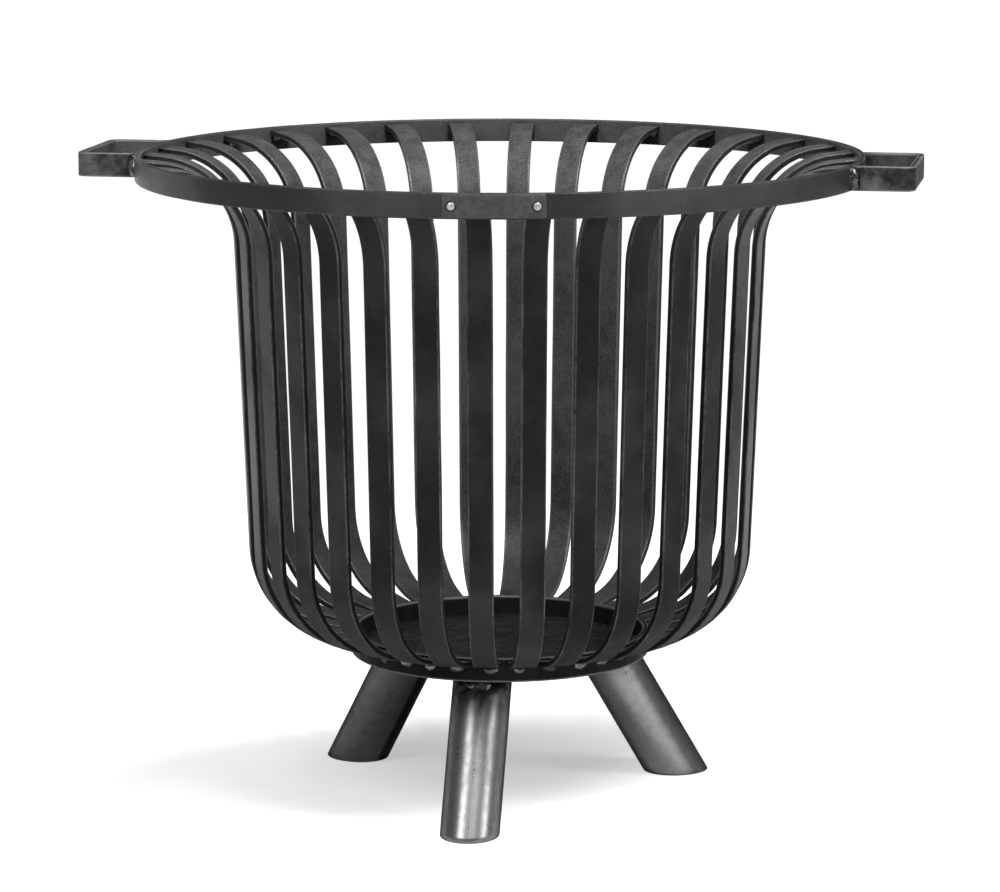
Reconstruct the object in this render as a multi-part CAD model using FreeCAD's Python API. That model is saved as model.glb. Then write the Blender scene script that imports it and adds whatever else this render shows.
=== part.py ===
import FreeCAD, Part
import math
import os
from FreeCAD import Vector

# A welded steel fire basket on three splayed legs. The origin is on the ground under the middle of the
# basket, +Z is up, the handles lie on +X and -X, and one leg points to -Y, the front.
# Lengths are in millimetres and angles in degrees.

# Stock: one flat bar for the hoops, staves and handles, one round tube for the legs
bar_width = 20.0
bar_thickness = 5.0
leg_diameter = 48.3
leg_wall = 2.6

# Hoops: the wide rim on top and the narrow base below, both of flat bar rolled on edge
rim_diameter = 600.0
overall_height = 536.0
base_diameter = 249.0
base_height = 118.0

# Floor of the basket: a disc inside the base hoop, level with its lower edge
floor_thickness = 4.0

# Staves: the outer face follows three straight lines, the flare under the rim, the tapered wall and
# the foot on the base hoop. The corner radii are where those lines would meet without the bends.
stave_count = 32
stave_top_drop = 2.4
flare_slope = 6.0
flare_corner_radius = 221.3
flare_bend_radius = 65.0
belly_corner_radius = 206.9
belly_bend_radius = 78.2
foot_slope = 12.0
foot_seat_height = 12.2

# Legs: tubes cut level at both ends, set in from the outside of the base hoop
leg_front_azimuth = -89.0
leg_right_azimuth = 30.0
leg_left_azimuth = 150.0
leg_splay = 30.8
leg_inset = 5.9

# Handles: flat bar bent to a U, its ends welded to the outside of the rim
handle_width = 112.0
handle_reach = 45.0
handle_bend_radius = 9.0

# Name plate: thin bare sheet curved to the rim, held by two drive rivets in blind holes
plate_length = 79.0
plate_margin = 1.0
plate_thickness = 1.0
plate_corner_radius = 1.5
plate_azimuth = -81.1
rivet_inset = 7.0
rivet_shank_diameter = 4.0
rivet_depth = 3.5
rivet_head_diameter = 7.8
rivet_head_height = 1.3

# Sizes worked out from those above
rim_radius = rim_diameter / 2
rim_inner_radius = rim_radius - bar_thickness
rim_bottom = overall_height - bar_width
rim_middle = overall_height - bar_width / 2
base_radius = base_diameter / 2
base_inner_radius = base_radius - bar_thickness
seat_overrun = bar_thickness / 2
stave_pitch = 360 / stave_count
stave_outer_top = overall_height - stave_top_drop - bar_thickness / math.cos(math.radians(flare_slope))
stave_outer_foot = base_height + foot_seat_height
leg_radius = leg_diameter / 2
leg_run = math.tan(math.radians(leg_splay))
leg_half_depth = leg_radius / math.cos(math.radians(leg_splay))
leg_top_centre = base_radius - leg_inset - leg_half_depth
leg_foot_centre = leg_top_centre + base_height * leg_run
leg_azimuths = {"leg_front": leg_front_azimuth, "leg_right": leg_right_azimuth, "leg_left": leg_left_azimuth}
handle_corner_x = math.sqrt(rim_radius ** 2 - (handle_width / 2) ** 2)
plate_face_radius = rim_radius + plate_thickness
rivet_half_angle = math.degrees((plate_length / 2 - rivet_inset) / rim_radius)
rivet_azimuths = (plate_azimuth - rivet_half_angle, plate_azimuth + rivet_half_angle)

UP = Vector(0, 0, 1)
OUTWARD = Vector(1, 0, 0)
SIDEWAYS = Vector(0, 1, 0)


def turned(shape, azimuth):
    """A copy of a shape turned about the basket's upright axis."""
    copy = shape.copy()
    copy.rotate(Vector(), UP, azimuth)
    return copy


def disc(radius, height, bottom):
    """A level disc about the basket's axis, its seam on -X, clear of the pieces that are cut to it."""
    return turned(Part.makeCylinder(radius, height, Vector(0, 0, bottom)), 180)


def ring(outer_radius, inner_radius, height, bottom):
    """A level ring of rectangular section about the basket's axis."""
    return disc(outer_radius, height, bottom).cut(disc(inner_radius, height, bottom))


def largest_solid(shape):
    """The main piece of a cut shape, without slivers on the far side of a thin bar."""
    return max(shape.Solids, key=lambda solid: solid.Volume)


# Flat bar bent on the flat

def sides_of(corners):
    return [(after - before).normalize() for before, after in zip(corners, corners[1:])]


def fitted_radii(corners, radii):
    """Bend radii, each no larger than its two sides have room for."""
    lengths = [(after - before).Length for before, after in zip(corners, corners[1:])]
    room = [length / 2 for length in lengths]
    room[0] = lengths[0] - bar_thickness
    room[-1] = lengths[-1] - bar_thickness
    sides = sides_of(corners)
    fitted = []
    for index, radius in enumerate(radii):
        tangent = math.tan(sides[index].getAngle(sides[index + 1]) / 2)
        fitted.append(min(radius, room[index] / tangent, room[index + 1] / tangent))
    return fitted


def rounded_path(corners, radii):
    """Edges along straight sides, with a tangent arc in place of each inner corner."""
    edges = []
    start = corners[0]
    for before, corner, after, radius in zip(corners, corners[1:], corners[2:], radii):
        back = (before - corner).normalize()
        ahead = (after - corner).normalize()
        half_turn = (math.pi - back.getAngle(ahead)) / 2
        reach = radius * math.tan(half_turn)
        depth = radius / math.cos(half_turn) - radius
        arc_start = corner + back * reach
        arc_middle = corner + (back + ahead).normalize() * depth
        arc_end = corner + ahead * reach
        edges.append(Part.LineSegment(start, arc_start).toShape())
        edges.append(Part.Arc(arc_start, arc_middle, arc_end).toShape())
        start = arc_end
    edges.append(Part.LineSegment(start, corners[-1]).toShape())
    return edges


def bent_bar(corners, radii, normal):
    """Flat bar whose one broad face follows the bent path and whose thickness lies to the path's left,
    seen against the normal. The bar's width is centred on the path's plane."""
    radii = fitted_radii(corners, radii)
    sides = sides_of(corners)
    lefts = [normal.cross(side) for side in sides]
    other = [corners[0] + lefts[0] * bar_thickness]
    other_radii = []
    for index, corner in enumerate(corners[1:-1]):
        left_sum = lefts[index] + lefts[index + 1]
        other.append(corner + left_sum * (bar_thickness / (1 + lefts[index].dot(lefts[index + 1]))))
        turns_left = normal.dot(sides[index].cross(sides[index + 1])) > 0
        other_radii.append(radii[index] + (-bar_thickness if turns_left else bar_thickness))
    other.append(corners[-1] + lefts[-1] * bar_thickness)
    edges = rounded_path(corners, radii)
    edges.append(Part.LineSegment(corners[-1], other[-1]).toShape())
    edges += rounded_path(other[::-1], other_radii[::-1])
    edges.append(Part.LineSegment(other[0], corners[0]).toShape())
    section = Part.Face(Part.Wire(edges))
    section.translate(normal * (-bar_width / 2))
    return section.extrude(normal * bar_width)


# Hoops and floor

rim_ring = ring(rim_radius, rim_inner_radius, bar_width, rim_bottom)
base_ring = ring(base_radius, base_inner_radius, bar_width, base_height)
floor_disc = disc(base_inner_radius, floor_thickness, base_height)


# Staves

def stave_bar():
    """One stave at azimuth 0, its ends cut to the curves of the two hoops."""
    flare_rise = math.tan(math.radians(flare_slope))
    foot_rise = math.tan(math.radians(foot_slope))

    def on_flare(radius):
        return Vector(radius, 0, stave_outer_top + (radius - rim_inner_radius) * flare_rise)

    def on_foot(radius):
        return Vector(radius, 0, stave_outer_foot + (radius - base_radius) * foot_rise)

    corners = [
        on_flare(rim_inner_radius + seat_overrun),
        on_flare(flare_corner_radius),
        on_foot(belly_corner_radius),
        on_foot(base_radius - seat_overrun),
    ]
    blank = bent_bar(corners, [flare_bend_radius, belly_bend_radius], SIDEWAYS)
    return largest_solid(blank.cut(rim_ring).cut(base_ring))


stave = stave_bar()
stave_azimuths = [(index + 0.5) * stave_pitch for index in range(stave_count)]


# Legs

def leg_axis_point(height):
    return Vector(leg_foot_centre - height * leg_run, 0, height)


def leg_rod(radius):
    """A round rod along the leg's slanted axis, longer than the leg at both ends."""
    along = (leg_axis_point(base_height) - leg_axis_point(0)).normalize()
    start = leg_axis_point(0) - along * leg_diameter
    length = (leg_axis_point(base_height) - start).Length + leg_diameter
    return Part.makeCylinder(radius, length, start, along)


def leg_tube():
    """One leg at azimuth 0: a slanted tube between the ground and the base."""
    reach = leg_foot_centre + leg_diameter
    layer = disc(reach, base_height, 0)
    return leg_rod(leg_radius).cut(leg_rod(leg_radius - leg_wall)).common(layer)


leg = leg_tube()


# Handles

def handle_bar():
    """The handle on +X, bent to a U and cut to the outside of the rim."""
    grip_x = rim_radius + handle_reach
    end_x = handle_corner_x - bar_thickness
    half_width = handle_width / 2
    corners = [
        Vector(end_x, -half_width, rim_middle),
        Vector(grip_x, -half_width, rim_middle),
        Vector(grip_x, half_width, rim_middle),
        Vector(end_x, half_width, rim_middle),
    ]
    blank = bent_bar(corners, [handle_bend_radius, handle_bend_radius], UP)
    return blank.cut(disc(rim_radius, overall_height, 0))


handle = handle_bar()
handle_azimuths = {"handle_right": 0, "handle_left": 180}


# Name plate and its rivets

def rivet_rod(diameter, start_radius, end_radius):
    """A round rod at azimuth 0 that points straight out of the rim."""
    start = Vector(start_radius, 0, rim_middle)
    return Part.makeCylinder(diameter / 2, end_radius - start_radius, start, OUTWARD)


def drive_rivet():
    """A rivet at azimuth 0, its head seated on the curved plate and its shank in the blind hole."""
    head_face = plate_face_radius + rivet_head_height
    head = rivet_rod(rivet_head_diameter, rim_radius, head_face)
    seated_head = head.cut(disc(plate_face_radius, overall_height, 0))
    shank = rivet_rod(rivet_shank_diameter, rim_radius - rivet_depth, head_face)
    return seated_head.fuse(shank).removeSplitter()


def drilled(shape):
    """A shape with the two rivet holes in it."""
    hole = rivet_rod(rivet_shank_diameter, rim_radius - rivet_depth, plate_face_radius + rivet_head_height)
    return shape.cut([turned(hole, azimuth) for azimuth in rivet_azimuths])


def name_plate_sheet():
    """A sheet with rounded corners, curved to the outside of the rim."""
    height = bar_width - 2 * plate_margin
    reach = plate_face_radius + plate_thickness
    corner = Vector(0, -plate_length / 2, rim_middle - height / 2)
    block = Part.makeBox(reach, plate_length, height, corner)
    corner_edges = [edge for edge in block.Edges if math.isclose(edge.Length, reach)]
    rounded_block = block.makeFillet(plate_corner_radius, corner_edges)
    layer = ring(plate_face_radius, rim_radius, overall_height, 0)
    return turned(rounded_block.common(layer), plate_azimuth)


# The pieces by name

pieces = {
    "rim_hoop": drilled(rim_ring),
    "base_hoop": base_ring,
    "base_plate": floor_disc,
    "name_plate": drilled(name_plate_sheet()),
    "plate_rivets": Part.makeCompound([turned(drive_rivet(), azimuth) for azimuth in rivet_azimuths]),
}
for index, azimuth in enumerate(stave_azimuths, start=1):
    pieces[f"stave_{index:02d}"] = turned(stave, azimuth)
for name, azimuth in leg_azimuths.items():
    pieces[name] = turned(leg, azimuth)
for name, azimuth in handle_azimuths.items():
    pieces[name] = turned(handle, azimuth)

os.makedirs("parts", exist_ok=True)
for name, shape in pieces.items():
    shape.exportStep(f"parts/{name}.step")
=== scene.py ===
import bpy
import numpy as np
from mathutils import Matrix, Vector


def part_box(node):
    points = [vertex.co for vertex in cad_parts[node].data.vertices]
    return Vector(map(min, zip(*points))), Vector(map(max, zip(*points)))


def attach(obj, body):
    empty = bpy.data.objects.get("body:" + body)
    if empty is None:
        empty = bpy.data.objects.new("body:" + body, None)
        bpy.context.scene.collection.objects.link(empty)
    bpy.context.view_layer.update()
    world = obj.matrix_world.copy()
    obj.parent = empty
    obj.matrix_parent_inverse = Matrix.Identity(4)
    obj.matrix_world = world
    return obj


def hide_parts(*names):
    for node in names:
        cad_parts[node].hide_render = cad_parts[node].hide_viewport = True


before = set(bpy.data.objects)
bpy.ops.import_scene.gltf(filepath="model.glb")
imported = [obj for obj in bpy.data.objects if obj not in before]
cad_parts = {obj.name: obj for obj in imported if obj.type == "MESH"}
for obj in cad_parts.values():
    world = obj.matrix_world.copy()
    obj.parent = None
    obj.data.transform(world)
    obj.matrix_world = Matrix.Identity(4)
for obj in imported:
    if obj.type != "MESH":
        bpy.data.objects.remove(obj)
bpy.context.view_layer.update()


# Base hoop: flat steel bar rolled to a small ring that stands on edge, its two ends welded together.
# The bar is hot-rolled, with a blackened skin of mill scale that is rubbed paler along its corners.

bar_width = 0.020
bar_thickness = 0.005
bar_corner = 0.0009
corner_fade = 0.0013
bar_unevenness = 0.012
base_low, base_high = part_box("base_hoop")
base_radius = base_high[0]
base_bottom = base_low[2]


def full_turn(steps):
    """Even angles round a circle, without the first one again at the end."""
    return np.linspace(0, 2 * np.pi, steps, endpoint=False)


def run_length(points):
    """Distance along a line of points, from the first one to each."""
    return np.concatenate([[0], np.cumsum(np.linalg.norm(np.diff(points, axis=0), axis=1))])


def bar_section():
    """Outline of rolled bar: a rectangle with a quarter circle at each corner, as a loop of points across
    the thickness and the width. Its marks are the corners, 1 on their curve and fading over the flats by
    distance, the inner broad face and the two narrow flanks, both by the way the outline faces."""
    half_size = np.array([bar_thickness, bar_width]) / 2 - bar_corner
    centres = np.array([[1, 1], [-1, 1], [-1, -1], [1, -1]]) * half_size
    quarter_turn = np.linspace(0, np.pi / 2, 6)
    flat_steps = (4, 12, 4, 12)
    points, corners, facing = [], [], []
    for quarter, (centre, after, steps) in enumerate(zip(centres, np.roll(centres, -1, axis=0), flat_steps)):
        angle = quarter_turn + quarter * np.pi / 2
        spokes = np.stack([np.cos(angle), np.sin(angle)], axis=1)
        share = (0.5 - 0.5 * np.cos(np.linspace(0, np.pi, steps + 1)))[1:-1, None]
        to_corner = np.minimum(share, 1 - share)[:, 0] * np.linalg.norm(after - centre)
        points += [centre + bar_corner * spokes, centre + bar_corner * spokes[-1] + share * (after - centre)]
        corners += [np.ones(len(angle)), np.exp(-to_corner / corner_fade)]
        facing += [spokes, np.broadcast_to(spokes[-1], (len(share), 2))]
    facing = np.concatenate(facing)
    marks = {"edge": np.concatenate(corners), "inner": np.clip(-facing[:, 0], 0, 1),
             "flank": np.abs(facing[:, 1])}
    return np.concatenate(points), marks


bar_outline, bar_marks = bar_section()
bar_girth = run_length(np.vstack([bar_outline, bar_outline[:1]]))


def rolling_wave(length, seed, depth=bar_unevenness):
    """Unevenness of rolled stock: five sine waves along the piece, each with its own phase, which drift
    round the section, averaged and scaled to the depth."""
    draw = np.random.default_rng(seed)
    waves = draw.uniform(12, 75, (5, 1, 1))
    phases = draw.uniform(0, 2 * np.pi, (5, 1, 1))
    drifts = draw.integers(1, 3, (5, 1, 1))
    around = full_turn(len(bar_outline))
    return depth * np.sin(waves * length[None, :, None] + drifts * around + phases).mean(axis=0)


def swept_bar(line, across, sideways, wave):
    """The section carried along a line: each point is the line's point plus the section's thickness along
    one direction and its width along the other, both swelled by the wave."""
    outline = bar_outline * (1 + wave[..., None])
    return line[:, None] + outline[..., :1] * across[:, None] + outline[..., 1:] * sideways[:, None]


def skin(name, points, marks, girth, length, hoop=False):
    """Mesh over a grid whose columns run round a section and whose rows run along a piece: neighbours in
    fours make faces, columns close on themselves, and so do a hoop's rows, while other ends get one face.
    All faces are turned over if the volume that they enclose comes out below nothing. The UV map is the
    distance round the section and along the piece, and each mark is kept at the points."""
    rows, columns = points.shape[:2]
    number = np.arange(rows * columns).reshape(rows, columns)
    here = number if hoop else number[:-1]
    ahead = np.roll(number, -1, axis=0) if hoop else number[1:]
    quads = np.stack([here, np.roll(here, -1, 1), np.roll(ahead, -1, 1), ahead], axis=-1).reshape(-1, 4)
    row, column = np.indices(here.shape)[..., None]
    uv = np.stack([girth[column + [0, 1, 1, 0]], length[row + [0, 0, 1, 1]]], axis=-1).reshape(-1, 4, 2)
    ends = [] if hoop else [number[0, ::-1], number[-1]]
    places = points.reshape(-1, 3)
    corners = places[quads]
    normals = np.cross(corners[:, 2] - corners[:, 0], corners[:, 3] - corners[:, 1])
    if (normals * (corners.mean(axis=1) - places.mean(axis=0))).sum() < 0:
        quads, uv = quads[:, ::-1], uv[:, ::-1]
        ends = [end[::-1] for end in ends]
    mesh = bpy.data.meshes.new(name)
    mesh.from_pydata(places.tolist(), [], quads.tolist() + [end.tolist() for end in ends])
    mesh.polygons.foreach_set("use_smooth", [True] * len(quads) + [False] * len(ends))
    flat_uv = np.concatenate([uv.reshape(-1, 2), np.zeros((columns * len(ends), 2))])
    mesh.uv_layers.new(name="run").uv.foreach_set("vector", flat_uv.ravel().astype(np.float32))
    for mark, value in marks.items():
        kept = np.broadcast_to(value, (rows, columns)).ravel().astype(np.float32)
        mesh.attributes.new(mark, "FLOAT", "POINT").data.foreach_set("value", kept)
    mesh.validate()
    piece = bpy.data.objects.new(name, mesh)
    bpy.context.scene.collection.objects.link(piece)
    return piece


def rolled_hoop(name, radius, middle, seed):
    """Flat bar on edge carried round a level circle: thickness along the radius and width upright. Its
    unevenness dies away where the circle closes."""
    angle = full_turn(steps=360)
    outward = np.stack([np.cos(angle), np.sin(angle), 0 * angle], axis=1)
    line = outward * (radius - bar_thickness / 2) + (0, 0, middle)
    upright = np.broadcast_to((0.0, 0.0, 1.0), line.shape)
    wave = rolling_wave(angle, seed) * np.sin(angle / 2)[:, None] ** 2
    length = np.linspace(0, 2 * np.pi * radius, len(angle) + 1)
    return skin(name, swept_bar(line, outward, upright, wave), bar_marks, bar_girth, length, hoop=True)


def feed(tree, made, inputs):
    """Links or sets each input of a node by its name or number."""
    for key, value in inputs.items():
        if isinstance(value, bpy.types.NodeSocket):
            tree.links.new(value, made.inputs[key])
        else:
            made.inputs[key].default_value = value


def node(tree, kind, inputs=None, **settings):
    """Adds a shader node with its settings and inputs."""
    made = tree.nodes.new(kind)
    for key, value in settings.items():
        setattr(made, key, value)
    feed(tree, made, inputs or {})
    return made


def noise(tree, place, scale, detail=4.0, roughness=0.55):
    """Soft blots between 0 and 1, with finer ones added as the detail grows."""
    inputs = {"Vector": place, "Scale": scale, "Detail": detail, "Roughness": roughness}
    return node(tree, "ShaderNodeTexNoise", inputs).outputs["Fac"]


def graded(tree, value, low, high, to_low=0.0, to_high=1.0, kind="SMOOTHSTEP"):
    """A value between two levels, spread between two others."""
    inputs = {"Value": value, "From Min": low, "From Max": high, "To Min": to_low, "To Max": to_high}
    return node(tree, "ShaderNodeMapRange", inputs, interpolation_type=kind).outputs[0]


def worked(tree, operation, *values):
    """One step of arithmetic."""
    return node(tree, "ShaderNodeMath", dict(enumerate(values)), operation=operation).outputs[0]


def product(tree, first, *others):
    """Several values multiplied."""
    total = first
    for other in others:
        total = worked(tree, "MULTIPLY", total, other)
    return total


def mixed(tree, first, *others):
    """The sum of several values, each times its share."""
    total = worked(tree, "MULTIPLY", *first)
    for value, share in others:
        total = worked(tree, "MULTIPLY_ADD", value, share, total)
    return total


def blended(tree, share, first, second):
    """A colour between two others. A Mix node has its colours at inputs 6 and 7 and output 2."""
    return node(tree, "ShaderNodeMix", {0: share, 6: first, 7: second}, data_type="RGBA").outputs[2]


def grey(level):
    """A neutral colour."""
    return level, level, level, 1.0


def relief(tree, height, strength, distance):
    """Normals that lean as the slope of a height does."""
    inputs = {"Height": height, "Strength": strength, "Distance": distance}
    return node(tree, "ShaderNodeBump", inputs).outputs[0]


def place_of(tree):
    """The place on a piece, in metres from the origin."""
    return node(tree, "ShaderNodeTexCoord").outputs["Object"]


def run_of(tree):
    """The distances round a piece and along it."""
    return node(tree, "ShaderNodeUVMap", uv_map="run").outputs[0]


def mark_of(tree, mark):
    """A mark kept at the points, which is 0 on a piece without it."""
    return node(tree, "ShaderNodeAttribute", attribute_name=mark).outputs["Fac"]


def parts_of(tree, vector):
    """The three parts of a vector."""
    return node(tree, "ShaderNodeSeparateXYZ", {0: vector}).outputs


def effect(name, inputs, outputs):
    """An empty node group with named sockets: its tree, what it is given and the node that takes its results.
    An input without a value is a vector."""
    tree = bpy.data.node_groups.new(name, "ShaderNodeTree")
    for label, value in inputs.items():
        kind = "NodeSocketVector" if value is None else "NodeSocketFloat"
        socket = tree.interface.new_socket(label, in_out="INPUT", socket_type=kind)
        if value is not None:
            socket.default_value = value
    for label in outputs:
        tree.interface.new_socket(label, in_out="OUTPUT", socket_type="NodeSocketFloat")
    return tree, tree.nodes.new("NodeGroupInput").outputs, tree.nodes.new("NodeGroupOutput")


def mill_scale_effect():
    """Scale of hot rolling: wide soft patches and finger-wide mottles for the tone, a fine grain for the
    sheen, and small pits where flakes have come off, only in some places."""
    inputs = {"Place": None, "Patch Scale": 9.0, "Mottle Scale": 80.0, "Grain Scale": 620.0}
    tree, given, result = effect("mill scale", inputs, ["Patches", "Mottle", "Grain", "Pits"])
    place = given["Place"]
    flakes = node(tree, "ShaderNodeTexVoronoi", {"Vector": place, "Scale": 330.0, "Randomness": 1.0})
    near_flake = graded(tree, flakes.outputs["Distance"], 0.10, 0.26, 1.0, 0.0)
    sparse = graded(tree, noise(tree, place, 60.0, 2.0), 0.52, 0.66)
    feed(tree, result, {
        "Patches": graded(tree, noise(tree, place, given["Patch Scale"], 2.0), 0.34, 0.66),
        "Mottle": graded(tree, noise(tree, place, given["Mottle Scale"], 5.0), 0.30, 0.70),
        "Grain": graded(tree, noise(tree, place, given["Grain Scale"], 3.0, 0.6), 0.32, 0.70),
        "Pits": product(tree, near_flake, sparse)})
    return tree


def rubbed_edge_effect():
    """Wear along corners: the edge mask, broken up by two sizes of noise, so that some stretches of a
    corner are bright and others keep their scale."""
    tree, given, result = effect("rubbed edge", {"Place": None, "Edge": 0.0, "Amount": 0.5}, ["Rubbed"])
    stretches = noise(tree, given["Place"], 26.0, 3.0)
    nicks = noise(tree, given["Place"], 240.0, 3.0, 0.65)
    broken = mixed(tree, (stretches, 0.7), (nicks, 0.5), (given["Amount"], 1.0), (given["Edge"], 1.0))
    on_corner = graded(tree, given["Edge"], 0.15, 0.75)
    feed(tree, result, {"Rubbed": product(tree, graded(tree, broken, 1.60, 2.15), on_corner)})
    return tree


def drawn_lines_effect():
    """Fine lines left by the rolls or the drawing die: noise stretched along the run of the piece."""
    inputs = {"Run": None, "Across Scale": 900.0, "Along Scale": 12.0}
    tree, given, result = effect("drawn lines", inputs, ["Lines"])
    run = parts_of(tree, given["Run"])
    across = product(tree, run[0], given["Across Scale"])
    along = product(tree, run[1], given["Along Scale"])
    stretched = node(tree, "ShaderNodeCombineXYZ", {0: across, 1: along}).outputs[0]
    feed(tree, result, {"Lines": noise(tree, stretched, 1.0, 4.0, 0.6)})
    return tree


mill_scale = mill_scale_effect()
rubbed_edge = rubbed_edge_effect()
drawn_lines = drawn_lines_effect()


def placed(tree, group, inputs):
    """Places a shared effect in a material, with its own values, and gives its outputs."""
    return node(tree, "ShaderNodeGroup", inputs, node_tree=group).outputs


def shader_of(material):
    """The node tree of a material and its surface shader."""
    material.use_nodes = True
    return material.node_tree, material.node_tree.nodes["Principled BSDF"]


top_band_heights = (0.44, 0.525)


def blackened_steel(name, deep, pale, rubbed, wear, scuffed, sheen, shine, patch, shares, reach=(0.15, 0.85),
                    flanks=(0.75, 0.25)):
    """Blackened bar: scale between two greys, corners rubbed to a third and inner faces scuffed to a fourth,
    painted shade on the narrow flanks, and grain and pits in relief. The shares say how much of the tone is
    wide patches, mottles, rolled lines and grain, and the reach which part of their sum counts. Inner faces
    are scuffed more, and the flanks get painted shade by the second share and not the first, above the top
    band heights."""
    material = bpy.data.materials.new(name)
    tree, surface = shader_of(material)
    place = place_of(tree)
    edge, inner, flank = [mark_of(tree, mark) for mark in ("edge", "inner", "flank")]
    # The band near the top, where inner faces are scuffed more and the flanks get the second share of painted
    # shade.
    worn = graded(tree, parts_of(tree, place)[2], *top_band_heights)
    scale = placed(tree, mill_scale, {"Place": place, "Patch Scale": patch, "Mottle Scale": patch * 8})
    # Inner corners are rubbed more: partly wear and partly a painted highlight along the inner edges of the
    # bars.
    wear_and_highlight = worked(tree, "MULTIPLY_ADD", inner, 0.25, wear)
    corner = placed(tree, rubbed_edge, {"Place": place, "Edge": edge, "Amount": wear_and_highlight})["Rubbed"]
    run_scales = {"Run": run_of(tree), "Across Scale": 1400.0, "Along Scale": 16.0}
    lines = placed(tree, drawn_lines, run_scales)["Lines"]
    layers = (scale["Patches"], scale["Mottle"], lines, scale["Grain"])
    tone = graded(tree, mixed(tree, *zip(layers, shares)), *reach)
    speckle = mixed(tree, (scale["Mottle"], 0.40), (scale["Grain"], 0.60))
    scuff = product(tree, inner, graded(tree, speckle, 0.0, 1.0, 0.30, 0.95),
                    graded(tree, worn, 0.0, 1.0, 0.45, 1.0))
    broad = blended(tree, scuff, blended(tree, tone, grey(deep), grey(pale)), grey(scuffed))
    # Painted shade on the narrow flanks: they are coloured darker than the broad faces.
    flank_shade = product(tree, flank, graded(tree, worn, 0.0, 1.0, *flanks))
    narrow = blended(tree, flank_shade, broad, grey(deep * 0.5))
    height = mixed(tree, (scale["Grain"], 0.90), (scale["Mottle"], 0.25), (lines, 0.25),
                   (scale["Pits"], -0.8))
    feed(tree, surface, {
        "Base Color": blended(tree, corner, narrow, grey(rubbed)),
        "Roughness": graded(tree, tone, 0.1, 0.9, *sheen, "LINEAR"),
        "Metallic": product(tree, corner, 0.55),
        "Specular IOR Level": shine,
        "Normal": relief(tree, height, strength=0.60, distance=0.00026)})
    return material


def fitted(piece, material, slot, *nodes):
    """Gives a piece its material and lets it ride in the place of its node. The finish slot is not used."""
    piece.data.materials.append(material)
    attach(piece, "root")
    if nodes:
        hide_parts(*nodes)


# The base hoop's bar is a darker copy of the blackened steel, as painted shade under the belly, and its
# rubbed corners are partly wear and partly a painted highlight along its lower edge.
shaded_base_bar = blackened_steel("shaded base bar", deep=0.0026, pale=0.0100, rubbed=0.16, wear=0.50, scuffed=0.02,
                             sheen=(0.58, 0.40), shine=0.10, patch=9.0, shares=(0.4, 0.3, 0.2, 0.1))
base_ring = rolled_hoop("base_ring", base_radius, base_bottom + bar_width / 2, seed=11)
fitted(base_ring, shaded_base_bar, "blackened_steel", "base_hoop")


# Base plate: a round of steel sheet laid inside the base hoop, level with its lower edge, and welded to it.
# It is the floor of the fire: flame-cut at the rim, scaled on both faces and a little buckled by its weld.

plate_low, plate_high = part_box("base_plate")
floor_radius = plate_high[0]
floor_chamfer = 0.0006
floor_buckle = 0.0007


def turned_round(radius, height, angle):
    """A profile turned about the basket's axis: every radius and height at every angle."""
    sweep = np.outer(radius, np.cos(angle)), np.outer(radius, np.sin(angle)), height
    return np.stack(np.broadcast_arrays(*sweep), axis=-1)


def floor_round():
    """Disc with softened rims: a profile from the middle of the underside out to the rim, up and back to the
    middle of the top, turned about the axis. The top buckles in three lobes, a cosine of three times the
    angle, which die at the middle and at the rim as half a sine wave does."""
    bottom, top = plate_low[2], plate_high[2]
    steps = floor_radius * np.array([0.01, 0.25, 0.5, 0.75, 0.9])
    chamfered = floor_radius - floor_chamfer
    radius = np.concatenate([steps, [chamfered, floor_radius, floor_radius, chamfered], steps[::-1]])
    height = np.array([bottom] * 6 + [bottom + floor_chamfer, top - floor_chamfer] + [top] * 6)
    edge = np.array([0.0] * 5 + [0.8, 1.0, 1.0, 0.8] + [0.0] * 5)
    angle = full_turn(steps=180)
    lobes = np.sin(np.pi * radius / floor_radius)[:, None] * (0.4 + 0.6 * np.cos(3 * angle + 0.8))
    on_top = (height > (bottom + top) / 2)[:, None]
    points = turned_round(radius, height[:, None] + on_top * floor_buckle * lobes, angle)
    girth = np.linspace(0, 2 * np.pi * floor_radius, len(angle) + 1)
    length = run_length(np.column_stack([radius, height]))
    return skin("floor_round", points, {"edge": edge[:, None]}, girth, length)


scaled_sheet = blackened_steel("scaled sheet", deep=0.004, pale=0.022, rubbed=0.06, wear=0.30, scuffed=0.02,
                               sheen=(0.68, 0.46), shine=0.20, patch=16.0, shares=(0.3, 0.4, 0.0, 0.3))
fitted(floor_round(), scaled_sheet, "blackened_steel", "base_plate")


# Legs: three lengths of round steel tube, splayed outwards, sawn level at both ends and welded to the base.
# The tube is bare, drawn bright with fine lines along it, pitted in places, and darker under the weld, partly
# smoke and partly painted shade.

leg_radius = 0.0483 / 2
leg_wall = 0.0026
leg_splay = np.radians(30.8)
leg_inset = 0.0059
leg_burr = 0.0004
leg_azimuths = {"leg_front": -89.0, "leg_right": 30.0, "leg_left": 150.0}
leg_face = base_radius - leg_inset
leg_top_centre = leg_face - leg_radius / np.cos(leg_splay)
leg_foot_centre = leg_top_centre + base_bottom * np.tan(leg_splay)
floor_reflection_heights = (0.005, 0.060)
smoke_and_shade_heights = (0.078, 0.116)


def around_axis(azimuth, outward, sideways, height):
    """Points by their distance out along an azimuth, their distance across it and their height."""
    turn = np.radians(azimuth)
    x = outward * np.cos(turn) - sideways * np.sin(turn)
    y = outward * np.sin(turn) + sideways * np.cos(turn)
    return np.stack(np.broadcast_arrays(x, y, height), axis=-1)


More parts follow.
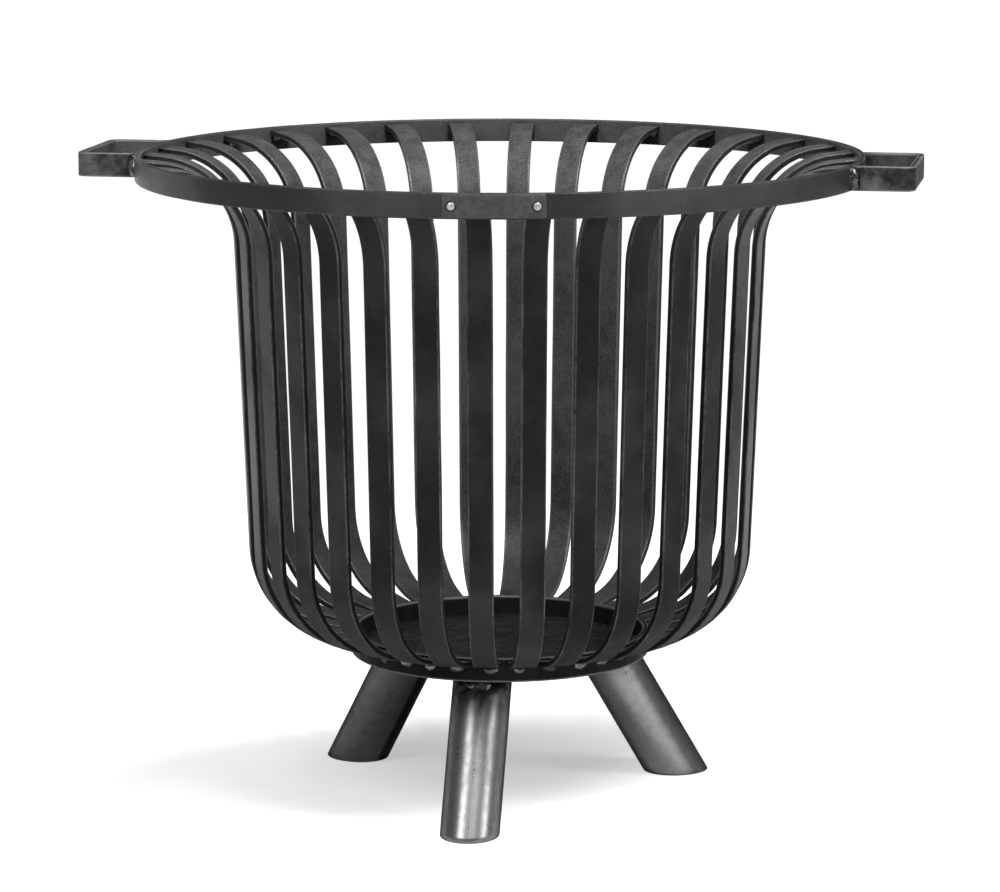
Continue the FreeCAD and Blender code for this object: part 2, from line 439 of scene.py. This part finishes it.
def leg_tube(name, azimuth):
    """Slanted tube: for each angle round it and each height, the point where a line along the tube at that
    radius meets the level plane. The profile goes up the outside, over the sawn top, down the bore and back
    under the foot, with the burr broken off every corner."""
    rise = np.linspace(leg_burr, base_bottom - leg_burr, 30)
    bore = leg_radius - leg_wall
    sawn = [leg_radius - leg_burr, bore + leg_burr]
    radius = np.concatenate([np.full(len(rise), leg_radius), sawn, np.full(len(rise), bore), sawn[::-1]])
    height = np.concatenate([rise, [base_bottom] * 2, rise[::-1], [0.0] * 2])
    angle = full_turn(steps=128)
    lean = np.outer(radius, np.cos(angle))
    travel = (height[:, None] - np.sin(leg_splay) * lean) / np.cos(leg_splay)
    out = leg_foot_centre - travel * np.sin(leg_splay) + np.cos(leg_splay) * lean
    points = around_axis(azimuth, out, np.outer(radius, np.sin(angle)), height[:, None])
    edge = np.minimum(height, base_bottom - height) < 1.5 * leg_burr
    profile = np.column_stack([radius, height])
    length = run_length(np.vstack([profile, profile[:1]]))
    girth = np.linspace(0, 2 * np.pi * leg_radius, len(angle) + 1)
    return skin(name, points, {"edge": edge[:, None]}, girth, length, hoop=True)


def bare_tube_steel(name, dim, bright, dark_reflection):
    """Bare drawn tube: grey steel with lines along it, brighter at the foot as a painted reflection of the
    floor, with dark pits, darkening that thickens towards the top, partly smoke and partly painted shade
    under the base, and one painted dark reflection along the tube, given by its middle and its half width, as
    shares of the way round, and its depth."""
    material = bpy.data.materials.new(name)
    tree, surface = shader_of(material)
    place, run = place_of(tree), run_of(tree)
    height = parts_of(tree, place)[2]
    scale = placed(tree, mill_scale, {"Place": place, "Mottle Scale": 120.0, "Grain Scale": 900.0})
    rubbed = {"Place": place, "Edge": mark_of(tree, "edge"), "Amount": 0.5}
    corner = placed(tree, rubbed_edge, rubbed)["Rubbed"]
    lines = placed(tree, drawn_lines, {"Run": run, "Across Scale": 420.0, "Along Scale": 22.0})["Lines"]
    # Painted reflection of the pale floor: the tube is lighter towards its foot.
    foot = graded(tree, height, *floor_reflection_heights, 1.0, 0.0)
    tone = mixed(tree, (scale["Mottle"], 0.35), (lines, 0.45), (scale["Grain"], 0.1), (foot, 0.3))
    # Darker towards the top: partly smoke from the weld and partly painted shade under the base.
    smoke = product(tree, graded(tree, height, *smoke_and_shade_heights, 0.0, 0.92),
                    graded(tree, scale["Mottle"], 0.0, 0.7, 0.35, 1.0))
    middle, half_width, depth = dark_reflection
    round_share = worked(tree, "DIVIDE", parts_of(tree, run)[0], 2 * np.pi * leg_radius)
    from_dark_reflection = worked(tree, "ABSOLUTE", worked(tree, "SUBTRACT", round_share, middle))
    # The soot here is a painted dark reflection along the tube, at one share of the way round.
    soot = graded(tree, from_dark_reflection, half_width * 0.6, half_width * 1.4, depth, 0.0)
    metal = blended(tree, tone, grey(dim), grey(bright))
    smoked_and_painted_dark = blended(tree, worked(tree, "MAXIMUM", smoke, soot), metal, grey(0.006))
    pitted = blended(tree, scale["Pits"], smoked_and_painted_dark, grey(0.015))
    uneven = mixed(tree, (lines, 0.5), (scale["Mottle"], 0.5), (scale["Pits"], -1.0))
    feed(tree, surface, {
        "Base Color": blended(tree, corner, pitted, grey(0.20)),
        "Roughness": graded(tree, tone, 0.2, 0.8, 0.42, 0.32, "LINEAR"),
        "Metallic": 1.0,
        "Specular Tint": grey(0.24),
        "Normal": relief(tree, uneven, strength=0.20, distance=0.00010)})
    return material


# Lit and shaded copies of one tube steel: the right leg's greys are lighter and the left leg's darker as
# painted light and shade, and each has its own painted dark reflection, none on the front leg.
leg_lit_and_shaded_tones = {"leg_front": dict(dim=0.135, bright=0.310, dark_reflection=(0.500, 0.100, 0.0)),
             "leg_right": dict(dim=0.300, bright=0.560, dark_reflection=(0.865, 0.085, 0.70)),
             "leg_left": dict(dim=0.095, bright=0.185, dark_reflection=(0.480, 0.024, 0.65))}
for leg_name, leg_azimuth in leg_azimuths.items():
    leg_steel = bare_tube_steel(leg_name.replace("_", " ") + " tube", **leg_lit_and_shaded_tones[leg_name])
    fitted(leg_tube(f"{leg_name}_tube", leg_azimuth), leg_steel, "bare_tube", leg_name)


# Staves: thirty-two lengths of flat bar, each bent twice on the flat, out to the rim above and in to the base
# hoop below. They are butted between the two hoops and welded at both ends.

stave_count = 32
stave_azimuths = (np.arange(stave_count) + 0.5) * 360 / stave_count
rim_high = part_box("rim_hoop")[1]
rim_radius = rim_high[0]
rim_inside = rim_radius - bar_thickness
rim_top = rim_high[2]
stave_top_drop = 0.0024
flare_slope = np.tan(np.radians(6.0))
flare_corner_radius = 0.2213
belly_corner_radius = 0.2069
foot_slope = np.tan(np.radians(12.0))
foot_seat_height = 0.0122
stave_bends = (0.065, 0.0782)
stave_under = rim_top - stave_top_drop - bar_thickness * np.sqrt(1 + flare_slope ** 2)
stave_seat = base_bottom + foot_seat_height
weld_sink = 0.0002
straight_step = 0.010
bend_step = 0.06
run_shift = 0.731


def bent_line(corners, radii):
    """Straight runs with an arc that touches both at each inner corner: points every few millimetres and the
    unit direction at each. A bend of radius r that turns by an angle a takes r tan(a/2) off both runs."""
    corners = np.asarray(corners, float)
    ways = np.diff(corners, axis=0)
    ways /= np.linalg.norm(ways, axis=1)[:, None]
    points, headings = [], []

    def straight(start, stop, way):
        """Adds even points along a straight run."""
        count = max(3, int(np.linalg.norm(stop - start) / straight_step))
        points.append(np.linspace(start, stop, count))
        headings.append(np.broadcast_to(way, (count, 2)))

    start = corners[0]
    for corner, way, after, radius in zip(corners[1:-1], ways, ways[1:], radii):
        left = np.array([-way[1], way[0]])
        turn = np.arctan2(left @ after, way @ after)
        cut = radius * np.tan(abs(turn) / 2)
        stop = corner - way * cut
        straight(start, stop, way)
        swing = np.linspace(0, turn, max(8, int(abs(turn) / bend_step)))[1:-1, None]
        spun = np.cos(swing) * way + np.sin(swing) * left
        spun_left = np.stack([-spun[:, 1], spun[:, 0]], axis=1)
        points.append(stop + radius * np.sign(turn) * (left - spun_left))
        headings.append(spun)
        start = corner + after * cut
    straight(start, corners[-1], ways[-1])
    return np.concatenate(points), np.concatenate(headings)


def stave_profile():
    """Outer face of a stave in the upright plane through the axis, as radius and height, from the rim to the
    base hoop: a flare of 6 degrees, the tapered wall and a foot of 12 degrees, joined by the two bends."""
    flare = [(radius, stave_under + (radius - rim_inside) * flare_slope)
             for radius in (rim_inside + weld_sink, flare_corner_radius)]
    foot = [(radius, stave_seat + (radius - base_radius) * foot_slope)
            for radius in (belly_corner_radius, base_radius - weld_sink)]
    return bent_line(flare + foot, stave_bends)


def bent_stave(name, azimuth, seed):
    """The bar's section carried along the profile, with its thickness inside the outer face and its width
    across the upright plane, turned to the stave's azimuth. Its run starts at a place of its own."""
    profile, heading = stave_profile()
    inside = np.stack([heading[:, 1], -heading[:, 0]], axis=1)
    middle = profile + inside * bar_thickness / 2
    line = around_axis(azimuth, middle[:, 0], 0, middle[:, 1])
    across = around_axis(azimuth, -inside[:, 0], 0, -inside[:, 1])
    sideways = np.broadcast_to(around_axis(azimuth, 0, 1, 0), line.shape)
    length = run_length(line)
    points = swept_bar(line, across, sideways, rolling_wave(length, seed))
    return skin(name, points, bar_marks, bar_girth, length + seed * run_shift)


blackened_bar = blackened_steel("blackened bar", deep=0.006, pale=0.030, rubbed=0.120, wear=0.25,
                                scuffed=0.100, sheen=(0.46, 0.32), shine=0.12, patch=9.0,
                                shares=(0.55, 0.15, 0.15, 0.15), reach=(0.05, 0.95))
for number, azimuth in enumerate(stave_azimuths, start=1):
    stave = bent_stave(f"stave_bar_{number:02d}", azimuth, seed=100 + number)
    fitted(stave, blackened_bar, "blackened_steel", f"stave_{number:02d}")


# Rim hoop: the same flat bar rolled to a wide ring that stands on edge round the ends of the staves.
# Its two ends are welded together and ground flush, and its inside is painted with the shadow of each stave
# end.

rim_middle = rim_top - bar_width / 2
stave_shade_heights = (rim_top - 0.0075, rim_top - 0.0050)


def painted_shade_under_staves(material):
    """Paints the shadow of each stave end on the inner face, as wide as a stave: the angle round the hoop
    counted in staves, whose fraction is a half at the middle of a stave, with sides broken up by noise."""
    tree, surface = shader_of(material)
    place = place_of(tree)
    parts = parts_of(tree, place)
    counted = product(tree, worked(tree, "ARCTAN2", parts[1], parts[0]), stave_count / (2 * np.pi))
    from_middle = worked(tree, "ABSOLUTE", worked(tree, "SUBTRACT", worked(tree, "FRACT", counted), 0.5))
    uneven = worked(tree, "MULTIPLY_ADD", noise(tree, place, 160.0, 3.0), 0.10, from_middle)
    stave_half = bar_width / 2 * stave_count / (2 * np.pi * rim_inside)
    stave_shade = graded(tree, uneven, stave_half + 0.02, stave_half + 0.07, 0.92, 0.0)
    below = graded(tree, parts[2], *stave_shade_heights, 1.0, 0.0)
    share = product(tree, stave_shade, mark_of(tree, "inner"), below)
    scaled = surface.inputs["Base Color"].links[0].from_socket
    # Painted shadow under each stave end, nearly black.
    feed(tree, surface, {"Base Color": blended(tree, share, scaled, grey(0.003))})


# The rim's narrow top and bottom faces get the painted flank shade in full.
burnished_bar = blackened_steel("burnished bar", deep=0.019, pale=0.056, rubbed=0.090, wear=0.24,
                                scuffed=0.070, sheen=(0.46, 0.30), shine=0.14, patch=6.0,
                                shares=(0.65, 0.10, 0.15, 0.10), flanks=(0.90, 0.90))
painted_shade_under_staves(burnished_bar)
fitted(rolled_hoop("rim_ring", rim_radius, rim_middle, seed=12), burnished_bar, "blackened_steel", "rim_hoop")


# Handles: two lengths of the flat bar, each bent on the flat to a square U and set on edge, level with the
# rim. Their ends are butted on the outside of the rim and welded there.

handle_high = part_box("handle_right")[1]
handle_grip = handle_high[0]
handle_half = handle_high[1]
handle_root = np.sqrt(rim_radius ** 2 - handle_half ** 2)
handle_bend_radius = 0.009
handle_sink = 0.0004
handle_unevenness = 0.010


def bent_handle(name, side, seed):
    """The bar's section carried round a level U: the outer face follows the arms and the grip, with a tight
    bend at each corner, the thickness lies inside it and the width is upright. The ends reach just into the
    rim."""
    corners = [(handle_root, -handle_half), (handle_grip, -handle_half), (handle_grip, handle_half),
               (handle_root, handle_half)]
    face, heading = bent_line(corners, [handle_bend_radius] * 2)
    inside = np.stack([-heading[:, 1], heading[:, 0]], axis=1)
    middle = face + inside * bar_thickness / 2
    middle[[0, -1], 0] = np.sqrt(rim_radius ** 2 - middle[[0, -1], 1] ** 2) - handle_sink
    line = np.column_stack([middle * side, np.full(len(middle), rim_middle)])
    across = np.column_stack([-inside * side, np.zeros(len(middle))])
    upright = np.broadcast_to((0.0, 0.0, 1.0), line.shape)
    length = run_length(line)
    points = swept_bar(line, across, upright, rolling_wave(length, seed, handle_unevenness))
    return skin(name, points, bar_marks, bar_girth, length)


worn_bar = blackened_steel("worn bar", deep=0.012, pale=0.104, rubbed=0.170, wear=0.44, scuffed=0.050,
                           sheen=(0.62, 0.44), shine=0.10, patch=22.0, shares=(0.50, 0.20, 0.20, 0.10))
fitted(bent_handle("handle_right_bar", 1, seed=31), worn_bar, "blackened_steel", "handle_right")
fitted(bent_handle("handle_left_bar", -1, seed=32), worn_bar, "blackened_steel", "handle_left")


# Name plate: a strip of thin sheet with rounded corners, curved to the front of the rim and left bare.
# It is cut with a punch, so its rim is slightly turned over, and it is brushed along its length.

sheet_length = 0.079
sheet_margin = 0.001
sheet_height = bar_width - 2 * sheet_margin
sheet_thickness = 0.001
sheet_corner = 0.0015
sheet_azimuth = -81.1
sheet_rim = 0.0004
sheet_rim_fade = 0.0007
sheet_end_band = 0.0012
sheet_sink = 0.0001


def rim_plate():
    """Sheet on a cylinder: rows of heights, each as long as the rounded outline is there, so the length is
    cut back by a quarter circle near the top and bottom. The front sinks near its rim as a quarter circle
    does, and columns go along the front and back along the rear."""
    fine = np.linspace(0, sheet_corner, 9)
    rows = np.concatenate([fine[:-1], np.linspace(sheet_corner, sheet_height - sheet_corner, 12),
                           sheet_height - fine[-2::-1]])
    from_end = np.minimum(rows, sheet_height - rows)
    inset = np.clip(1 - from_end / sheet_corner, 0, 1)
    half_length = sheet_length / 2 - sheet_corner * (1 - np.sqrt(1 - inset ** 2))
    from_side = np.concatenate([np.linspace(0, sheet_end_band, 6)[:-1],
                                np.linspace(sheet_end_band, sheet_length / 2, 24)])
    half_share = 1 - from_side / (sheet_length / 2)
    along = np.outer(half_length, np.concatenate([-half_share, half_share[-2::-1]]))
    to_rim = np.minimum(half_length[:, None] - np.abs(along), from_end[:, None])
    sink = sheet_rim * (1 - np.sqrt(1 - np.clip(1 - to_rim / sheet_rim, 0, 1) ** 2))
    front = rim_radius + sheet_thickness - sink
    radius = np.concatenate([front, np.full(front.shape, rim_radius - sheet_sink)], axis=1)
    arc = np.concatenate([along, along[:, ::-1]], axis=1) / rim_radius
    height = rim_middle - sheet_height / 2 + rows[:, None]
    points = around_axis(sheet_azimuth, radius * np.cos(arc), radius * np.sin(arc), height)
    near = np.exp(-np.concatenate([to_rim, to_rim], axis=1) / sheet_rim_fade)
    middle_row = along[len(rows) // 2]
    girth = np.concatenate([middle_row, 2 * sheet_length - middle_row, [4 * sheet_length]])
    return skin("rim_plate", points, {"edge": near}, girth, rows)


def brushed_sheet_steel():
    """Bare sheet: dull grey with fine brushing along its length, cloudy patches and brighter rims."""
    material = bpy.data.materials.new("brushed sheet")
    tree, surface = shader_of(material)
    place = place_of(tree)
    scale = placed(tree, mill_scale, {"Place": place, "Mottle Scale": 170.0, "Grain Scale": 1100.0})
    rubbed = {"Place": place, "Edge": mark_of(tree, "edge"), "Amount": 0.55}
    corner = placed(tree, rubbed_edge, rubbed)["Rubbed"]
    brushing = {"Run": run_of(tree), "Across Scale": 60.0, "Along Scale": 5000.0}
    lines = placed(tree, drawn_lines, brushing)["Lines"]
    tone = mixed(tree, (scale["Mottle"], 0.5), (lines, 0.2), (scale["Grain"], 0.3))
    metal = blended(tree, tone, grey(0.026), grey(0.084))
    feed(tree, surface, {
        "Base Color": blended(tree, corner, metal, grey(0.085)),
        "Roughness": graded(tree, tone, 0.2, 0.8, 0.50, 0.36, "LINEAR"),
        "Metallic": 0.5,
        "Normal": relief(tree, tone, strength=0.40, distance=0.00012)})
    return material


fitted(rim_plate(), brushed_sheet_steel(), "plate_sheet", "name_plate")


# Drive rivets: two bright steel rivets hammered into the rim through the name plate.
# Their round heads are set down by the hammer, so the dome is a little flat on top.

rivet_head = 0.0078
rivet_rise = 0.0022
rivet_foot = 0.0002
rivet_sink = 0.0006
rivet_inset = 0.007
rivet_offset = np.degrees((sheet_length / 2 - rivet_inset) / rim_radius)


def domed_rivet(name, azimuth):
    """A dome: a profile from the flattened top down a round flank to the foot and a little way into the
    plate, turned about the line out of the rim, with a slow wave round it from the hammer."""
    share = np.linspace(0.02, 1, 18)
    radius = rivet_head / 2 * np.append(share, [1.0, 0.97])
    rise = np.append(rivet_rise * (1 - share ** 2.2) ** 0.56 + rivet_foot, [0.0, -rivet_sink])
    angle = full_turn(steps=64)
    dent = 1 + 0.03 * np.sin(2 * angle + 0.7) + 0.02 * np.sin(3 * angle + 2.1)
    height = rise[:, None] * np.where(rise[:, None] > 2 * rivet_foot, dent, 1)
    out = rim_radius + sheet_thickness + height
    up = rim_middle + np.outer(radius, np.sin(angle))
    points = around_axis(azimuth, out, np.outer(radius, np.cos(angle)), up)
    girth = np.linspace(0, np.pi * rivet_head, len(angle) + 1)
    return skin(name, points, {}, girth, run_length(np.column_stack([radius, rise])))


def bright_rivet_steel():
    """Bright rivet: polished steel with hammer dimples and a dark ring round its foot, painted shade on the
    dome's flank, which grows with the distance from the top of the head."""
    material = bpy.data.materials.new("bright rivet")
    tree, surface = shader_of(material)
    scale = placed(tree, mill_scale, {"Place": place_of(tree), "Mottle Scale": 600.0, "Grain Scale": 1600.0})
    # Painted shade: the dome darkens from partway out down to its foot.
    ring = graded(tree, parts_of(tree, run_of(tree))[1], rivet_head * 0.28, rivet_head * 0.44)
    bright = blended(tree, scale["Mottle"], grey(0.36), grey(0.50))
    feed(tree, surface, {
        "Base Color": blended(tree, ring, bright, grey(0.06)),
        "Roughness": graded(tree, scale["Grain"], 0.3, 0.7, 0.36, 0.46, "LINEAR"),
        "Metallic": 1.0,
        "Specular Tint": grey(0.40),
        "Normal": relief(tree, scale["Mottle"], strength=0.3, distance=0.0002)})
    return material


bright_rivet = bright_rivet_steel()
for rivet_name, offset in (("rivet_dome_a", -rivet_offset), ("rivet_dome_b", rivet_offset)):
    fitted(domed_rivet(rivet_name, sheet_azimuth + offset), bright_rivet, "bright_rivet", "plate_rivets")


# Weld beads: steel run into the corners by hand, a short bead under each stave end, one up each handle arm
# and one under each leg top. They set in overlapping ripples, grey and shiny, with the odd drop at an end.

bead_ripple = 0.0035
foot_bead_proud = 0.0002
foot_bead_drop = 0.0014
rim_bead_inset = 0.0010
rim_bead_drop = 0.0010
handle_bead_facing = (0.63, 0.77)
handle_bead_lift = 0.0016
handle_bead_margin = 0.0003
leg_bead_ends = (-0.009, 0.011)
leg_bead_inset = 0.0002
leg_bead_drop = 0.0034


def weld_bead(name, start, stop, normal, width, height, seed, lumps=1.0, drop=0.0):
    """A round run between two points: the centre line wanders, and its width and height swell by ripples,
    slow waves and folds round it, as much as the lumps say, and by a drop near the end. Both close at the
    ends as an ellipse does."""
    draw = np.random.default_rng(seed)
    normal = np.asarray(normal, float) / np.linalg.norm(normal)
    way = stop - start
    length = np.linalg.norm(way)
    side = np.cross(way / length, normal)
    share = 0.5 - 0.5 * np.cos(np.linspace(0.04, np.pi - 0.04, 36))
    close = np.sqrt(1 - (2 * share - 1) ** 2)
    phase = draw.uniform(0, 2 * np.pi, 6)
    rate = draw.uniform(3, 9, 4)
    ripple = 0.10 * np.abs(np.sin(np.pi * share * length / bead_ripple + phase[0]))
    slow = 0.22 * np.sin(rate[0] * share + phase[1]) + 0.14 * np.sin(2 * rate[1] * share + phase[2])
    swell = close ** 0.7 * (1 + lumps * (ripple + slow) + drop * np.exp(-((share - 0.85) / 0.12) ** 2))
    angle = full_turn(steps=20)
    folds = (0.12 * np.sin(2 * angle + rate[2] * share[:, None] + phase[3])
             + 0.07 * np.sin(5 * angle + 2 * rate[3] * share[:, None] + phase[4]))
    size = swell[:, None] * (1 + lumps * folds)
    wander = lumps * width * 0.18 * np.sin(rate[1] * share + phase[5])
    line = start + np.outer(share, way) + np.outer(wander, side)
    points = (line[:, None] + (size * np.cos(angle) * width / 2)[..., None] * side
              + (size * np.sin(angle) * height)[..., None] * normal)
    return skin(name, points, {}, np.linspace(0, np.pi * width, len(angle) + 1), share * length)


def weld_metal(name, burnt, bright, low, high, speck):
    """Bead: burnt dark steel with brighter specks where its mottles pass a level, partly painted glints, soot
    in patches, ripples in relief and a wet-looking sheen."""
    material = bpy.data.materials.new(name)
    tree, surface = shader_of(material)
    scales = {"Place": place_of(tree), "Patch Scale": 26.0, "Mottle Scale": speck, "Grain Scale": 1500.0}
    scale = placed(tree, mill_scale, scales)
    metal = blended(tree, graded(tree, scale["Mottle"], low, high), grey(burnt), grey(bright))
    sooted = blended(tree, graded(tree, scale["Patches"], 0.1, 0.7, 0.75, 0.0), metal, grey(0.012))
    feed(tree, surface, {
        "Base Color": blended(tree, scale["Pits"], sooted, grey(0.02)),
        "Roughness": graded(tree, scale["Grain"], 0.3, 0.7, 0.24, 0.42, "LINEAR"),
        "Metallic": 0.85,
        "Normal": relief(tree, scale["Mottle"], strength=0.3, distance=0.0002)})
    return material


def bead_run(azimuth, radius, shift, reach, height):
    """The two ends of a bead across an upright round face: a reach to either side of a shift."""
    across = [shift - reach, shift + reach]
    return [around_axis(azimuth, np.sqrt(radius ** 2 - place ** 2), place, height) for place in across]


bright_bead = weld_metal("weld bead", burnt=0.090, bright=0.220, low=0.0, high=1.0, speck=130.0)
# The burnt bead's bright specks stand in partly for glints: painted highlights on dark lumps.
burnt_bead = weld_metal("burnt bead", burnt=0.030, bright=0.200, low=0.3, high=1.0, speck=240.0)
for number, azimuth in enumerate(stave_azimuths, start=1):
    chance = np.random.default_rng(700 + number)
    shift, reach = chance.uniform(-0.0025, 0.0050), chance.uniform(0.0034, 0.0062)
    ends = bead_run(azimuth, base_radius + foot_bead_proud, shift, reach, stave_seat - foot_bead_drop)
    out_and_down = around_axis(azimuth, 0.85, 0, -0.5)
    bead = weld_bead(f"foot_bead_{number:02d}", *ends, out_and_down, width=chance.uniform(0.0062, 0.0085),
                     height=chance.uniform(0.0024, 0.0036), seed=800 + number, lumps=0.30)
    fitted(bead, bright_bead, "bare_tube")
    shift, reach = chance.uniform(-0.003, 0.003), chance.uniform(0.006, 0.009)
    ends = bead_run(azimuth, rim_inside - rim_bead_inset, shift, reach, stave_under - rim_bead_drop)
    in_and_down = around_axis(azimuth, -0.7, 0, -0.7)
    bead = weld_bead(f"rim_bead_{number:02d}", *ends, in_and_down, width=chance.uniform(0.005, 0.007),
                     height=chance.uniform(0.0025, 0.0040), seed=900 + number, drop=chance.uniform(0, 0.6))
    fitted(bead, burnt_bead, "blackened_steel")

for name, side, arm in (("right_a", 1, -1), ("right_b", 1, 1), ("left_a", -1, -1), ("left_b", -1, 1)):
    out_of_corner = np.array([side * handle_bead_facing[0], arm * handle_bead_facing[1], 0])
    corner = np.array([side * handle_root, arm * handle_half, rim_middle]) + out_of_corner * handle_bead_lift
    half_run = np.array([0, 0, bar_width / 2 - handle_bead_margin])
    ends = [corner - half_run, corner + half_run]
    bead = weld_bead(f"handle_bead_{name}", *ends, out_of_corner, width=0.0130, height=0.0042,
                     seed=950 + side * 2 + arm, lumps=0.35)
    fitted(bead, burnt_bead, "blackened_steel")

for name, azimuth in leg_azimuths.items():
    ends = [around_axis(azimuth, leg_face - leg_bead_inset, across, base_bottom - leg_bead_drop)
            for across in leg_bead_ends]
    out_and_down = around_axis(azimuth, 0.9, 0, -0.4)
    bead = weld_bead(f"{name}_bead", *ends, out_and_down, width=0.0090, height=0.0046,
                     seed=970 + len(name), lumps=0.7, drop=0.5)
    fitted(bead, burnt_bead, "blackened_steel")


# Floor, light and camera: a pale studio floor under a white horizon, whose white glow is weaker in an oval
# under the basket, so that the shade there is partly real shadow and partly painted shade.
# The main lamp is high in front and to the right, with a weak wide one beside it and two lower ones at the
# sides, and a long lens looks on from standing height.

camera_place = (0.5703, -3.3222, 0.8810)
camera_turn = np.radians((80.07, 0.0, 9.74))
camera_lens = 147.87
camera_sensor = 36.0
camera_side = np.arctan2(camera_place[1], camera_place[0])
studio_level = -0.0004
studio_depth = 0.01
pool_middle = (-0.1267, 0.0290, 0.0)
pool_turn = (0.0, 0.0, np.radians(37.7))
pool_size = (0.29, 0.145, 1.0)
pool_edges = (0.75, 1.60)
pool_white = (0.46, 1.0)
dim_distances = (0.6, 1.7)
mirror_distances = (0.50, 1.30)
sky_heights = (0.05, 0.18)
sky_levels = (1.0, 0.14)
lamp_aim = np.array([0.0, 0.0, 0.25])


def studio_floor():
    """A thin disc far wider than the basket: a profile out along the underside and back along the top, just
    under the feet, turned about the axis."""
    rings = np.concatenate([[0.02], np.geomspace(0.4, 22.0, 12)])
    radius = np.concatenate([rings, rings[::-1]])
    height = np.repeat([studio_level - studio_depth, studio_level], len(rings))
    angle = full_turn(steps=96)
    points = turned_round(radius, height[:, None], angle)
    return skin("studio_floor", points, {}, np.linspace(0, 1, len(angle) + 1), np.linspace(0, 1, len(radius)))


def length_of(tree, vector):
    """The length of a vector."""
    return node(tree, "ShaderNodeVectorMath", {0: vector}, operation="LENGTH").outputs["Value"]


def pale_floor_paint():
    """Matt pale paint, darker far out, so that the basket isn't lit from below. To the camera it glows up to
    white outside the oval under the basket, leaving painted shade inside it, and to mirrored rays away from
    the feet."""
    material = bpy.data.materials.new("pale floor")
    tree, surface = shader_of(material)
    place = place_of(tree)
    from_middle = length_of(tree, place)
    lit_tone = graded(tree, from_middle, *dim_distances, 0.66, 0.21)
    grain = graded(tree, noise(tree, place, 90.0), 0.3, 0.7, 0.0, 0.03)
    oval = {"Vector": place, "Location": pool_middle, "Rotation": pool_turn, "Scale": pool_size}
    pool = length_of(tree, node(tree, "ShaderNodeMapping", oval, vector_type="TEXTURE").outputs[0])
    path = node(tree, "ShaderNodeLightPath").outputs
    mirrored = worked(tree, "MAXIMUM", path["Is Glossy Ray"], path["Is Transmission Ray"])
    white = mixed(tree, (graded(tree, pool, *pool_edges, *pool_white), path["Is Camera Ray"]),
                  (graded(tree, from_middle, *mirror_distances), mirrored))
    feed(tree, surface, {
        "Base Color": worked(tree, "SUBTRACT", lit_tone, grain),
        "Roughness": 1.0,
        "Specular IOR Level": 0.0,
        "Emission Color": grey(1.0),
        "Emission Strength": white})
    return material


studio = studio_floor()
studio.data.materials.append(pale_floor_paint())

surround = bpy.data.worlds.new("studio surround")
bpy.context.scene.world = surround
surround.use_nodes = True
sky_tree = surround.node_tree
sky_height = parts_of(sky_tree, node(sky_tree, "ShaderNodeTexCoord").outputs["Generated"])[2]
sky_light = {"Color": grey(1.0), "Strength": graded(sky_tree, sky_height, *sky_heights, *sky_levels)}
feed(sky_tree, sky_tree.nodes["Background"], sky_light)


def soft_lamp(name, azimuth, elevation, distance, size, power):
    """A rectangular lamp, placed by its azimuth from the camera's side, its height angle and its distance,
    and aimed at the middle of the basket."""
    turn = camera_side + np.radians(azimuth)
    rise = np.radians(elevation)
    lamp = bpy.data.lights.new(name, "AREA")
    lamp.shape = "RECTANGLE"
    lamp.size, lamp.size_y = size
    lamp.energy = power
    made = bpy.data.objects.new(name, lamp)
    away = np.array([np.cos(rise) * np.cos(turn), np.cos(rise) * np.sin(turn), np.sin(rise)])
    made.location = lamp_aim + distance * away
    made.rotation_euler = (np.pi / 2 - rise, 0, turn + np.pi / 2)
    bpy.context.scene.collection.objects.link(made)


soft_lamp("lamp_above", azimuth=27, elevation=61, distance=2.4, size=(0.80, 0.80), power=52)
soft_lamp("lamp_front", azimuth=12, elevation=47, distance=2.6, size=(1.50, 0.70), power=6)
soft_lamp("lamp_right", azimuth=64, elevation=27, distance=2.2, size=(0.50, 0.90), power=14)
soft_lamp("lamp_left", azimuth=-41, elevation=43, distance=2.2, size=(0.55, 0.90), power=21)

lens = bpy.data.cameras.new("photo camera")
lens.lens = camera_lens
lens.sensor_width = camera_sensor
camera = bpy.data.objects.new("photo_camera", lens)
camera.location = camera_place
camera.rotation_euler = camera_turn
bpy.context.scene.collection.objects.link(camera)
bpy.context.scene.camera = camera
bpy.context.scene.view_settings.view_transform = "Standard"
